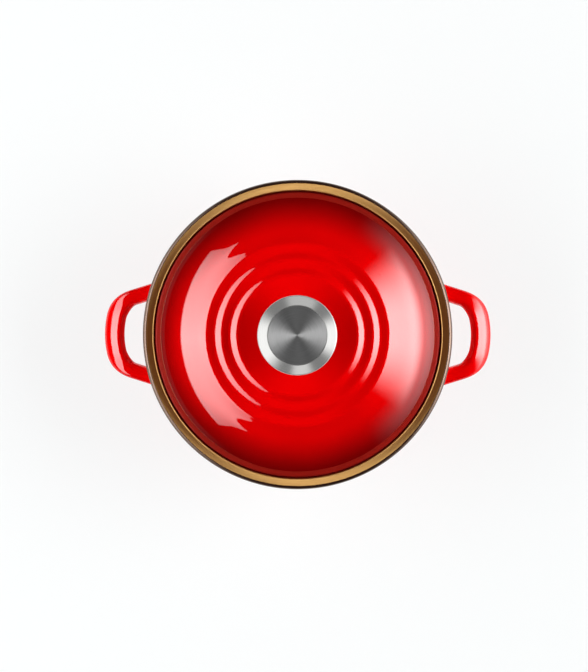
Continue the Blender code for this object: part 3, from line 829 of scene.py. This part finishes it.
@dataclass(frozen=True)
class Lid:
    """The cast lid: a dome with rings of waves, a flat flange and a locating rim under it."""

    outside: bpy.types.Material
    inside: bpy.types.Material
    rim: bpy.types.Material
    knob_seat_radius: float = 0.0165
    first_flat_radius: float = 0.04115
    wave_length: float = 0.0113
    wave_count: float = 2.5
    mean_slope: float = math.radians(12.5)      # of the waves, which the underside leaves out
    gentlest_slope: float = math.radians(0.5)
    steepest_slope: float = math.radians(27.8)
    wave_power: float = 1.416       # how narrow the steep part of each wave is
    faint_swing: float = math.radians(4.6)
    faint_length: float = 0.0141    # a last, faint wave in the shoulder
    shoulder_slope: float = math.radians(42.0)
    shoulder_power: float = 2.4
    flange_width: float = 0.0042
    edge_thickness: float = 0.0040
    edge_round: float = 0.0014
    wall: float = 0.0045
    locating_width: float = 0.0035
    locating_depth: float = 0.0070
    locating_round: float = 0.0007
    bore_radius: float = 0.1018     # of the pot under the ledge, which the locating rim goes into
    locating_play: float = 0.0006
    rings: int = 260
    spokes: int = SPOKES
    underside_steps: int = 60

    @property
    def last_wave_radius(self) -> float:
        """Radius at which the waves end."""
        return self.first_flat_radius + self.wave_count * self.wave_length

    @property
    def crease_radius(self) -> float:
        """Radius of the crease between dome and flange."""
        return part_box("lid")[1].x - self.flange_width

    def smooth_slope(self, radius: float) -> float:
        """Slope of the dome without its waves, for the underside.

        Args:
            radius: Distance from the axis.

        Returns:
            The downward slope, as an angle.
        """
        if radius <= self.knob_seat_radius:
            return 0.0
        if radius <= self.first_flat_radius:
            crown = self.first_flat_radius - self.knob_seat_radius
            return self.gentlest_slope * (radius - self.knob_seat_radius) / crown
        quarter = self.wave_length / 4
        if self.first_flat_radius + quarter < radius < self.last_wave_radius - quarter:
            return self.mean_slope
        if radius <= self.last_wave_radius:
            turn = math.tau * (radius - self.first_flat_radius) / self.wave_length
            wave = ((1 - math.cos(turn)) / 2) ** self.wave_power
            return self.gentlest_slope + (self.steepest_slope - self.gentlest_slope) * wave
        share = (radius - self.last_wave_radius) / (self.crease_radius - self.last_wave_radius)
        extra = self.shoulder_slope - self.steepest_slope
        return self.steepest_slope + extra * share ** self.shoulder_power

    def rule_values(self) -> dict[str, float | int | bpy.types.Material]:
        """Names the inputs of the top's node tree.

        Returns:
            Each input's name with this lid's value.
        """
        return {
            "Hole Radius": SCREW_HOLE_RADIUS, "Seat Radius": self.knob_seat_radius,
            "First Flat Radius": self.first_flat_radius, "Wave Length": self.wave_length,
            "Wave Count": self.wave_count, "Gentlest Slope": self.gentlest_slope,
            "Steepest Slope": self.steepest_slope, "Wave Power": self.wave_power,
            "Faint Swing": self.faint_swing, "Faint Length": self.faint_length,
            "Shoulder Slope": self.shoulder_slope, "Shoulder Power": self.shoulder_power,
            "Crease Radius": self.crease_radius, "Top Height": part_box("lid")[1].z,
            "Rings": self.rings, "Spokes": self.spokes, "Material": self.outside,
        }

    def rule_tree(self) -> bpy.types.GeometryNodeTree:
        """Builds the node tree that makes the dome's top from its slope at each radius.

        The slope waves between a gentlest and a steepest angle, dips once more and grows to the
        shoulder's. The height is what the slopes add up to from the middle outwards.

        Returns:
            The tree, which starts from a grid: X runs out from the hole, and Y once round.
        """
        tree = bpy.data.node_groups.new("lid_top_from_slope", "GeometryNodeTree")
        tree.is_modifier = True
        for name, value in self.rule_values().items():
            kind = next(socket for held, socket in SOCKETS.items() if isinstance(value, held))
            tree.interface.new_socket(name, in_out="INPUT", socket_type=kind)
        tree.interface.new_socket("Geometry", in_out="OUTPUT", socket_type="NodeSocketGeometry")
        given = add_node(tree, "NodeGroupInput").outputs
        place = add_node(tree, "GeometryNodeInputPosition")
        split = add_node(tree, "ShaderNodeSeparateXYZ", inputs={0: place}).outputs
        known = {name: given[name] for name in self.rule_values()}
        known.update(X=split["X"], Y=split["Y"])
        for name, operation, *sources in LID_TOP_RULES:
            inputs = {at: known.get(source, source) for at, source in enumerate(sources)}
            if operation == RANGE:
                known[name] = add_node(tree, "ShaderNodeMapRange", inputs=inputs)
            else:
                known[name] = add_node(tree, "ShaderNodeMath", {"operation": operation}, inputs)

        per_point = {"data_type": "FLOAT", "domain": "POINT"}
        grid = add_node(tree, "GeometryNodeMeshGrid",
                        inputs={"Size X": 1.0, "Size Y": 1.0, "Vertices X": known["columns"],
                                "Vertices Y": known["rows"]})
        fallen = add_node(tree, "GeometryNodeAccumulateField", per_point,
                          {"Value": known["fall"], "Group ID": known["spoke"]})
        height = add_node(tree, "ShaderNodeMath", {"operation": "SUBTRACT"},
                          {0: given["Top Height"], 1: fallen.outputs["Trailing"]})
        target = add_node(tree, "ShaderNodeCombineXYZ",
                          inputs={"X": known["across"], "Y": known["along"], "Z": height})
        steepness = add_node(tree, "ShaderNodeMapRange", {"interpolation_type": Ramp.SOFT.value},
                             {"Value": known["slope"], "From Max": given["Steepest Slope"]})
        moved = add_node(tree, "GeometryNodeSetPosition",
                         inputs={"Geometry": grid, "Position": target})
        marked = add_node(tree, "GeometryNodeStoreNamedAttribute", per_point,
                          {"Geometry": moved, "Name": STEEPNESS, "Value": steepness})
        merged = add_node(tree, "GeometryNodeMergeByDistance",
                          inputs={"Geometry": marked, "Distance": SEAM})
        realized = add_node(tree, "GeometryNodeRealizeInstances", inputs={"Geometry": merged})
        dressed = add_node(tree, "GeometryNodeSetMaterial",
                           inputs={"Geometry": realized, "Material": given["Material"]})
        add_node(tree, "NodeGroupOutput", inputs={"Geometry": dressed})
        return tree

    def top_mesh(self) -> bpy.types.Mesh:
        """Runs the node tree with the lid's sizes.

        Returns:
            The dome's top as a plain mesh.
        """
        tree, values = self.rule_tree(), self.rule_values()
        maker = bpy.data.objects.new("lid_top_maker", bpy.data.meshes.new("lid_top_maker"))
        bpy.context.scene.collection.objects.link(maker)
        modifier = maker.modifiers.new("rule", "NODES")
        modifier.node_group = tree
        for item in tree.interface.items_tree:
            if item.in_out == "INPUT":
                modifier[item.identifier] = values[item.name]
        evaluated = maker.evaluated_get(bpy.context.evaluated_depsgraph_get())
        mesh = bpy.data.meshes.new_from_object(evaluated)
        bpy.data.objects.remove(maker)
        return mesh

    def build(self) -> bpy.types.Object:
        """Joins the dome's top to the flange, the locating rim and the smooth underside.

        Returns:
            The lid's object.
        """
        red, pale, rust = range(3)
        low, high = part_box("lid")
        shape = bmesh.new()
        shape.from_mesh(self.top_mesh())
        for face in shape.faces:
            face.material_index = red
        crease_height = min(vertex.co.z for vertex in shape.verts)
        bottom = low.z + self.locating_depth
        locating = self.bore_radius - self.locating_play
        inner_face = locating - self.locating_width
        corners = [
            Corner(self.crease_radius, crease_height, 0.0, rust),
            Corner(high.x, bottom + self.edge_thickness, self.edge_round, rust),
            Corner(high.x, bottom, self.locating_round, rust),
            Corner(locating, bottom, 0.0, pale),
            Corner(locating, low.z, self.locating_round, pale),
            Corner(inner_face, low.z, self.locating_round, pale),
            Corner(inner_face, bottom, 0.0, pale),
        ]
        points = trace(corners, False) + self.underside(inner_face, pale)
        points.append(Corner(SCREW_HOLE_RADIUS, high.z, 0.0, pale))
        turned(shape, points, False, self.spokes)
        return closed_piece("lid_casting", shape, [self.outside, self.inside, self.rim], "lid",
                            "lid")

    def underside(self, inner_face: float, finish: int) -> list[Corner]:
        """Points of the smooth underside, from the locating rim in to the screw hole.

        Args:
            inner_face: Radius of the locating rim's inner face.
            finish: Finish of the strips.

        Returns:
            Points at the wall's thickness inside the smooth dome.
        """
        width = self.crease_radius - SCREW_HOLE_RADIUS
        radii = [SCREW_HOLE_RADIUS + width * step / self.underside_steps
                 for step in range(self.underside_steps + 1)]
        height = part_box("lid")[1].z
        points = []
        for last, radius in zip([0.0, *radii], radii):
            height -= (radius - last) * math.tan(self.smooth_slope((last + radius) / 2))
            slope = self.smooth_slope(radius)
            out = radius - self.wall * math.sin(slope)
            if out < inner_face:
                points.append(Corner(out, height - self.wall * math.cos(slope), 0.0, finish))
        return points[::-1]


# ---------------------------------------------------------------------------------------------
# The knob and its screw


@dataclass(frozen=True)
class Knob:
    """The hollow steel knob: a flared cup, a cap with a sloping shoulder, and a spun disc in it."""

    shell: bpy.types.Material
    disc: bpy.types.Material
    plated: bpy.types.Material
    rubber: bpy.types.Material
    sheet: float = 0.0012
    sheet_edge_round: float = 0.0002
    foot_radius: float = 0.0150
    foot_height: float = 0.0020
    foot_round: float = 0.0006
    neck_radius: float = 0.0122
    neck_height: float = 0.0070
    shoulder_slope: float = math.radians(21.5)
    shoulder_top_round: float = 0.0003
    edge_round: float = 0.0015
    ledge_width: float = 0.0080
    disc_gap: float = 0.0003
    disc_edge_round: float = 0.0003
    nut_edge_round: float = 0.0004
    thread_depth: float = 0.0003
    spokes: int = 160
    nut_spokes: int = 80
    flare_steps: int = 16

    def build(self) -> tuple[bpy.types.Object, bpy.types.Object, bpy.types.Object]:
        """Builds the knob and the gasket under it.

        Returns:
            The steel pieces that show: cup, cap and disc.
        """
        self.build_gasket()
        self.build_nut()
        return self.build_cup(), self.build_cap(), self.build_disc()

    def build_gasket(self) -> None:
        """Builds the flat ring between knob and lid."""
        low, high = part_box("knob_gasket")
        edge = (high.z - low.z) / 4
        corners = [Corner(SCREW_HOLE_RADIUS, high.z), Corner(high.x, high.z, edge),
                   Corner(high.x, low.z, edge), Corner(SCREW_HOLE_RADIUS, low.z)]
        turned_piece("gasket_ring", corners, [self.rubber], "lid", "knob_gasket",
                     self.spokes)

    def build_cup(self) -> bpy.types.Object:
        """Builds the lower shell: a foot, a neck and a flare up to the widest line.

        Returns:
            The shell's object.
        """
        low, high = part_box("knob_cup")
        flare = high.x - self.neck_radius
        widest, neck_round = high.z - flare / 4, flare / 3
        foot_top, neck = low.z + self.foot_height, low.z + self.neck_height
        inside_floor, inside_neck = low.z + self.sheet, self.neck_radius - self.sheet
        corners = [
            Corner(high.x - self.sheet, high.z),
            Corner(high.x, high.z, self.sheet_edge_round),
            Corner(high.x, widest, flare / 4),
            Corner(self.neck_radius, neck, neck_round),
            Corner(self.neck_radius, foot_top, self.foot_round),
            Corner(self.foot_radius, foot_top, self.foot_round),
            Corner(self.foot_radius, low.z),
            Corner(SCREW_HOLE_RADIUS, low.z),
            Corner(SCREW_HOLE_RADIUS, inside_floor),
            Corner(inside_neck, inside_floor),
            Corner(inside_neck, neck + self.sheet / 2, neck_round),
            Corner(high.x - self.sheet, widest + self.sheet / 2, flare / 4),
        ]
        return turned_piece("knob_cup_shell", corners, [self.shell], "lid",
                            "knob_cup", self.spokes, self.flare_steps)

    def build_cap(self) -> bpy.types.Object:
        """Builds the upper shell: a sloping shoulder, a recess for the disc and a ledge under it.

        Returns:
            The shell's object.
        """
        low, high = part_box("knob_cap")
        disc_low, disc_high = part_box("knob_disc")
        face = disc_high.x + self.disc_gap
        recess = disc_low.z - self.disc_gap
        shoulder = high.z - (high.x - face) * math.tan(self.shoulder_slope)
        ledge = face - self.ledge_width
        corners = [
            Corner(ledge, recess),
            Corner(face, recess),
            Corner(face, high.z, self.shoulder_top_round),
            Corner(high.x, shoulder, self.edge_round),
            Corner(high.x, low.z, self.sheet_edge_round),
            Corner(high.x - self.sheet, low.z),
            Corner(high.x - self.sheet, shoulder - self.sheet),
            Corner(face, recess - self.sheet),
            Corner(ledge, recess - self.sheet),
        ]
        return turned_piece("knob_cap_shell", corners, [self.shell], "lid",
                            "knob_cap", self.spokes, FINE_ROUND_STEPS)

    def build_disc(self) -> bpy.types.Object:
        """Builds the spun disc in the cap's recess.

        Returns:
            The disc's object.
        """
        low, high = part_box("knob_disc")
        corners = [Corner(0.0, high.z), Corner(high.x, high.z, self.disc_edge_round),
                   Corner(high.x, low.z), Corner(0.0, low.z)]
        return turned_piece("spun_disc", corners, [self.disc], "lid", "knob_disc",
                            self.spokes)

    def build_nut(self) -> None:
        """Builds the threaded sleeve inside the knob."""
        low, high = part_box("knob_nut")
        bore = SCREW_HOLE_RADIUS - self.thread_depth
        corners = [Corner(bore, high.z), Corner(high.x, high.z, self.nut_edge_round),
                   Corner(high.x, low.z), Corner(bore, low.z)]
        turned_piece("threaded_sleeve", corners, [self.plated], "lid",
                     "knob_nut", self.nut_spokes)


@dataclass(frozen=True)
class LidFixing:
    """What shows under the lid: the screw's head on its spring washer, flat washer and seal."""

    plated: bpy.types.Material
    rubber: bpy.types.Material

    def build(self) -> None:
        """Gives the CAD pieces their finishes."""
        finishes = {"lid_screw": self.plated, "lock_washer": self.plated,
                    "flat_washer": self.plated, "screw_seal": self.rubber}
        for node, finish in finishes.items():
            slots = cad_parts[node].material_slots
            for slot in slots:
                slot.material = finish
            LOG.info("%s: %d slots dressed", node, len(slots))


# ---------------------------------------------------------------------------------------------
# The studio


@dataclass(frozen=True)
class LightCard:
    """A soft light: a flat sheet that leans over the pot, or one curved round it.

    Its angles are in degrees.
    """

    name: str
    azimuth: float
    half_angle: float           # from its middle to each side, at its lower edge
    low: float                  # elevation of its lower edge
    high: float                 # elevation of the middle of its upper edge
    strength: float
    top_half_angle: float = 0.0     # the same at a flat sheet's upper edge, or 0 for a curved sheet
    bow: float = 0.0            # how far a flat sheet's lower edge bends round the pot, up to 1
    side_start: float = 0.8     # share of its half width at which it starts to dim
    side_level: float = 0.0     # level that is left at its sides
    side_ramp: Ramp = Ramp.SOFT
    low_end: float = 0.05       # share of its height at which it is fully bright
    low_level: float = 0.0      # level at its lower edge
    high_start: float = 1.0     # share of its height at which it starts to dim to nothing
    tint: str = WHITE
    distance: float = 1.6
    columns: int = 24
    rows: int = 12
    seen_by: tuple[bpy.types.Object, ...] = ()      # the only pieces that it lights; none for all
    hidden_from: tuple[bpy.types.Object, ...] = ()  # pieces that it doesn't light

    def spot(self, across: float, along: float) -> Vector:
        """Finds a place on the light.

        Args:
            across: Share of the way from one side to the other.
            along: Share of the way from its lower to its upper edge.

        Returns:
            The place, from the lid's top.
        """
        half_angle, low, high = (math.radians(angle) for angle in
                                 (self.half_angle, self.low, self.high))
        if not self.top_half_angle:
            turn = half_angle * (2 * across - 1)
            rise = low + (high - low) * along
            out, side = math.cos(rise) * math.cos(turn), math.cos(rise) * math.sin(turn)
            place = Vector((out, side, math.sin(rise))) * self.distance
        else:
            near = self.distance * math.cos(low)
            half_width = near * math.tan(half_angle)
            over = half_width / math.tan(math.radians(self.top_half_angle))
            out = near + (over - near) * along
            side = half_width * (2 * across - 1)
            pull = 1 - self.bow * (1 - along) * (1 - near / math.hypot(near, side))
            foot, head = self.distance * math.sin(low), over * math.tan(high)
            place = Vector((out * pull, side * pull, foot + (head - foot) * along))
        return Matrix.Rotation(math.radians(self.azimuth), 3, "Z") @ place

    def build(self) -> None:
        """Builds the light as a sheet that the camera doesn't see."""
        centre = Vector((0.0, 0.0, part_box("lid")[1].z))
        shape = bmesh.new()
        layer = shape.loops.layers.uv.new(CARD_MAP)
        spots = {(column, row):
                 shape.verts.new(centre + self.spot(column / self.columns, row / self.rows))
                 for row in range(self.rows + 1) for column in range(self.columns + 1)}
        for row in range(self.rows):
            for column in range(self.columns):
                corners = ((column, row), (column, row + 1),
                           (column + 1, row + 1), (column + 1, row))
                face = shape.faces.new([spots[corner] for corner in corners])
                for loop, (across, along) in zip(face.loops, corners):
                    loop[layer].uv = (across / self.columns, along / self.rows)
        mesh = bpy.data.meshes.new(self.name)
        shape.to_mesh(mesh)
        shape.free()
        mesh.materials.append(self.glow())
        card = bpy.data.objects.new(self.name, mesh)
        bpy.context.scene.collection.objects.link(card)
        card.visible_camera = False
        if self.seen_by or self.hidden_from:
            receivers = bpy.data.collections.new(f"{self.name}_receivers")
            for piece in self.seen_by or self.hidden_from:
                receivers.objects.link(piece)
            for entry in receivers.collection_objects:
                entry.light_linking.link_state = "INCLUDE" if self.seen_by else "EXCLUDE"
            card.light_linking.receiver_collection = receivers

    def glow(self) -> bpy.types.Material:
        """Builds the light's emission, which dims to its edges and adds to the lights behind it.

        Returns:
            The material.
        """
        material, tree = new_material(f"{self.name}_glow")
        where = add_node(tree, "ShaderNodeUVMap", {"uv_map": CARD_MAP})
        split = add_node(tree, "ShaderNodeSeparateXYZ", inputs={0: where}).outputs
        soft = {"interpolation_type": Ramp.SOFT.value}
        offset = add_node(tree, "ShaderNodeMath", {"operation": "SUBTRACT"},
                          {0: split["X"], 1: 0.5})
        side = add_node(tree, "ShaderNodeMath", {"operation": "ABSOLUTE"}, {0: offset})
        level = add_node(tree, "ShaderNodeMapRange", {"interpolation_type": self.side_ramp.value},
                         {"Value": side, "From Min": self.side_start / 2, "From Max": 0.5,
                          "To Min": 1.0, "To Max": self.side_level})
        factors = [add_node(tree, "ShaderNodeMapRange", soft,
                            {"Value": split["Y"], "From Max": self.low_end,
                             "To Min": self.low_level})]
        if self.high_start < 1.0:
            factors.append(add_node(tree, "ShaderNodeMapRange", soft,
                                    {"Value": split["Y"], "From Min": self.high_start,
                                     "To Min": 1.0, "To Max": 0.0}))
        for factor in (*factors, self.strength):
            level = add_node(tree, "ShaderNodeMath", {"operation": "MULTIPLY"},
                             {0: level, 1: factor})
        glow = add_node(tree, "ShaderNodeEmission",
                        inputs={"Color": linear(self.tint), "Strength": level})
        clear = add_node(tree, "ShaderNodeBsdfTransparent")
        surface = add_node(tree, "ShaderNodeAddShader", inputs={0: clear, 1: glow})
        add_node(tree, "ShaderNodeOutputMaterial", inputs={"Surface": surface})
        return material


@dataclass(frozen=True)
class Studio:
    """A white floor, soft lights at the sides, a dark room above, and the camera overhead."""

    steel: tuple[bpy.types.Object, ...]     # the knob's pieces, which small reflectors light
    cap: bpy.types.Object                   # the one among them that takes gentler side lights
    band: bpy.types.Object
    floor_half: float = 40.0
    floor_drop: float = 0.0002
    floor_white: str = "#e0e8e8"
    shadow_share: float = 0.24
    shadow_reach: tuple[float, float] = (0.35, 1.3)     # distances over which that share fades out
    room_level: float = 0.004
    camera_height: float = 1.5          # above the rim's plane
    view_long_side: float = 0.4984      # what the view's long side spans at the rim's plane
    sensor: float = 36.0                # in millimetres, as Blender's lens is
    aim: tuple[float, float] = (-0.0026, -0.00096)      # from the axis, in the rim's plane
    lean: tuple[float, float] = (math.radians(0.3), math.radians(0.5))      # towards +X and +Y
    roll: float = math.radians(0.15)

    def build(self) -> None:
        """Builds everything round the object."""
        self.build_floor()
        self.build_room()
        for card in self.lights() + self.reflectors():
            card.build()
        self.build_camera()
        bpy.context.scene.view_settings.view_transform = "Standard"

    def build_floor(self) -> None:
        """Builds the white floor, which keeps a pale share of the object's shadow."""
        material, tree = new_material("white_floor")
        matt = add_node(tree, "ShaderNodeBsdfDiffuse", inputs={"Color": linear(self.floor_white)})
        white = add_node(tree, "ShaderNodeEmission", inputs={"Strength": 1.0})
        place = add_node(tree, "ShaderNodeTexCoord").outputs["Object"]
        away = add_node(tree, "ShaderNodeVectorMath", {"operation": "LENGTH"}, {0: place})
        near, far = self.shadow_reach
        plain = add_node(tree, "ShaderNodeMapRange", {"interpolation_type": Ramp.SOFT.value},
                         {"Value": away, "From Min": near, "From Max": far,
                          "To Min": 1.0 - self.shadow_share, "To Max": 1.0})
        path = add_node(tree, "ShaderNodeLightPath").outputs
        mirrored = add_node(tree, "ShaderNodeMath", {"operation": "MAXIMUM"},
                            {0: path["Is Glossy Ray"], 1: path["Is Transmission Ray"]})
        seen = add_node(tree, "ShaderNodeMath", {"operation": "MAXIMUM"},
                        {0: path["Is Camera Ray"], 1: mirrored})
        share = add_node(tree, "ShaderNodeMath", {"operation": "MULTIPLY"}, {0: seen, 1: plain})
        mixed = add_node(tree, "ShaderNodeMixShader", inputs={0: share, 1: matt, 2: white})
        add_node(tree, "ShaderNodeOutputMaterial", inputs={"Surface": mixed})
        half, drop = self.floor_half, -self.floor_drop
        mesh = bpy.data.meshes.new("floor")
        mesh.from_pydata([(-half, -half, drop), (half, -half, drop), (half, half, drop),
                          (-half, half, drop)], [], [(0, 1, 2, 3)])
        mesh.materials.append(material)
        floor = bpy.data.objects.new("floor", mesh)
        bpy.context.scene.collection.objects.link(floor)

    def build_room(self) -> None:
        """Builds the nearly unlit room above the floor, which the camera sees as white."""
        world = bpy.data.worlds.new("studio_room")
        world.use_nodes = True
        tree = world.node_tree
        tree.nodes.clear()
        path = add_node(tree, "ShaderNodeLightPath").outputs
        level = add_node(tree, "ShaderNodeMapRange",
                         inputs={"Value": path["Is Camera Ray"], "To Min": self.room_level})
        room = add_node(tree, "ShaderNodeBackground",
                        inputs={"Color": linear(WHITE), "Strength": level})
        add_node(tree, "ShaderNodeOutputWorld", inputs={"Surface": room})
        bpy.context.scene.world = world

    def lights(self) -> list[LightCard]:
        """Lists the lights.

        Returns:
            The soft lights at the left and right, and a weak one low beside each.
        """
        return [
            LightCard("left_light", azimuth=183, half_angle=46, low=22.9, high=51, strength=7.1,
                      top_half_angle=60, bow=0.75, side_start=0.0, side_level=0.28,
                      side_ramp=Ramp.EVEN, hidden_from=(self.cap,)),
            LightCard("right_light", azimuth=3.6, half_angle=42, low=13.5, high=51, strength=8.4,
                      top_half_angle=42, side_start=0.1, low_end=0.22, hidden_from=(self.cap,)),
            LightCard("low_right_light", azimuth=3, half_angle=60, low=0.5, high=30, strength=2.6,
                      side_start=0.0, low_end=0.3, low_level=0.75, high_start=0.4, distance=1.9),
            LightCard("low_left_light", azimuth=183, half_angle=60, low=0.5, high=7, strength=0.12,
                      side_start=0.6, low_level=1.0, distance=1.9),
        ]

    def reflectors(self) -> list[LightCard]:
        """Lists the cards that only bare metal mirrors. Where two overlap, their distances differ.

        Returns:
            Those overhead, behind and in front, at the cap's sides, and low at the band's sides.
        """
        overhead = dict(azimuth=0, half_angle=180, low=25, high=89, side_level=1.0, low_level=1.0)
        upright = dict(low=22, high=56, low_level=1.0, distance=1.7, seen_by=self.steel)
        beside = dict(low=5, high=60, strength=1.15, low_level=1.0, distance=1.8,
                      seen_by=(self.cap,))
        edge = dict(half_angle=70, low=-5, high=12, strength=4.0, side_start=0.2, low_level=1.0,
                    distance=2.0, seen_by=(self.band,))
        return [
            LightCard("steel_ceiling", strength=0.28, distance=2.2, seen_by=self.steel, **overhead),
            LightCard("band_ceiling", strength=0.22, tint="#ffb49a", distance=2.35,
                      seen_by=(self.band,), **overhead),
            LightCard("back_reflector", azimuth=83, half_angle=30, strength=0.45, side_start=0.6,
                      **upright),
            LightCard("front_reflector", azimuth=277, half_angle=20, strength=0.7, side_start=0.5,
                      **upright),
            LightCard("cap_left_light", azimuth=192, half_angle=54, side_start=0.4, **beside),
            LightCard("cap_right_light", azimuth=-3, half_angle=40, side_start=0.35, **beside),
            LightCard("left_edge_light", azimuth=183, **edge),
            LightCard("right_edge_light", azimuth=3, **edge),
        ]

    def build_camera(self) -> None:
        """Builds the camera overhead."""
        camera_data = bpy.data.cameras.new("overhead")
        camera_data.sensor_width = self.sensor
        camera_data.lens = self.sensor * self.camera_height / self.view_long_side
        camera = bpy.data.objects.new("overhead", camera_data)
        bpy.context.scene.collection.objects.link(camera)
        target = Vector((*self.aim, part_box("rim_band")[1].z))
        across, along = self.lean
        upright = math.cos(math.hypot(across, along))
        back = Vector((math.sin(across), math.sin(along), upright)).normalized()
        level = Vector((0.0, 1.0, 0.0)).cross(back).normalized()
        right = Matrix.Rotation(self.roll, 3, back) @ level
        up = back.cross(right)
        camera.location = target + back * self.camera_height
        camera.rotation_euler = Matrix((right, up, back)).transposed().to_euler()
        bpy.context.scene.camera = camera


# ---------------------------------------------------------------------------------------------


def main() -> None:
    """Builds the object's sub-assemblies, then the studio round it."""
    logging.basicConfig(level=logging.INFO, format="%(name)s %(message)s")

    # Enamelled iron: clear bright red, which darkens where the second coat lies over it.
    # On the lid's top the colour also takes painted shade on the waves' steep sides.
    lid_red = OmbreEnamel("red_ombre_enamel_lid", "#ea0002", "#880002", Way.OUTWARDS,
                          0.075, 0.1035).make()
    pot_red = OmbreEnamel("red_ombre_enamel_pot", "#f20002", "#a40004", Way.UPWARDS,
                          0.088, 0.109, glow=0.2).make()
    # One thin coat on the flange and the lip, which fires to a duller rust red.
    rust = OmbreEnamel("rust_red_enamel_rim", "#901810", "#901812", Way.OUTWARDS, 0.100, 0.112,
                       glow=0.6, glass=0.12, glass_roughness=0.30).make()
    sand = SandEnamel("sand_enamel").make()
    # Gold-toned plate, brushed round, which spreads its highlights. Its rolled edge is buffed, and
    # its dark brown is painted shade for the dark surroundings that it mirrors.
    brass = SatinMetal("satin_brass_plate", "#c09c63", "#ae884b", 0.40, 0.85).make()
    rolled = SatinMetal("rolled_brass_edge_painted_shade", "#65554c", "#594a42", 0.24).make()
    # Stainless steel: the buffed shells mirror the lights, and the spun disc fans them out.
    shell = SatinMetal("polished_stainless_steel", "#d8d8d6", "#cfcfcd", 0.20, 0.3, 0.25,
                       grain_size=0.2 * MILLIMETRE).make()
    spun = SatinMetal("spun_stainless_steel", "#969696", "#7e7e7e", 0.42, 0.9, 0.25,
                      grain_size=0.5 * MILLIMETRE).make()
    # Under the lid: bright zinc, a soft even grey, and black rubber, which hardly shines.
    plated = SatinMetal("zinc_plated_steel", "#b4b8ba", "#9da2a6", 0.34).make()
    rubber = MouldedSilicone("black_silicone").make()

    pot = Pot(pot_red, sand, rust)
    pot.build()
    band = RimBand(pot, brass, rolled).build()
    for side in (1, -1):
        LoopHandle(pot, side).build()
    Lid(lid_red, sand, rust).build()
    cup, cap, disc = Knob(shell, spun, plated, rubber).build()
    LidFixing(plated, rubber).build()
    Studio((cup, cap, disc), cap, band).build()


if __name__ == "__main__":
    main()
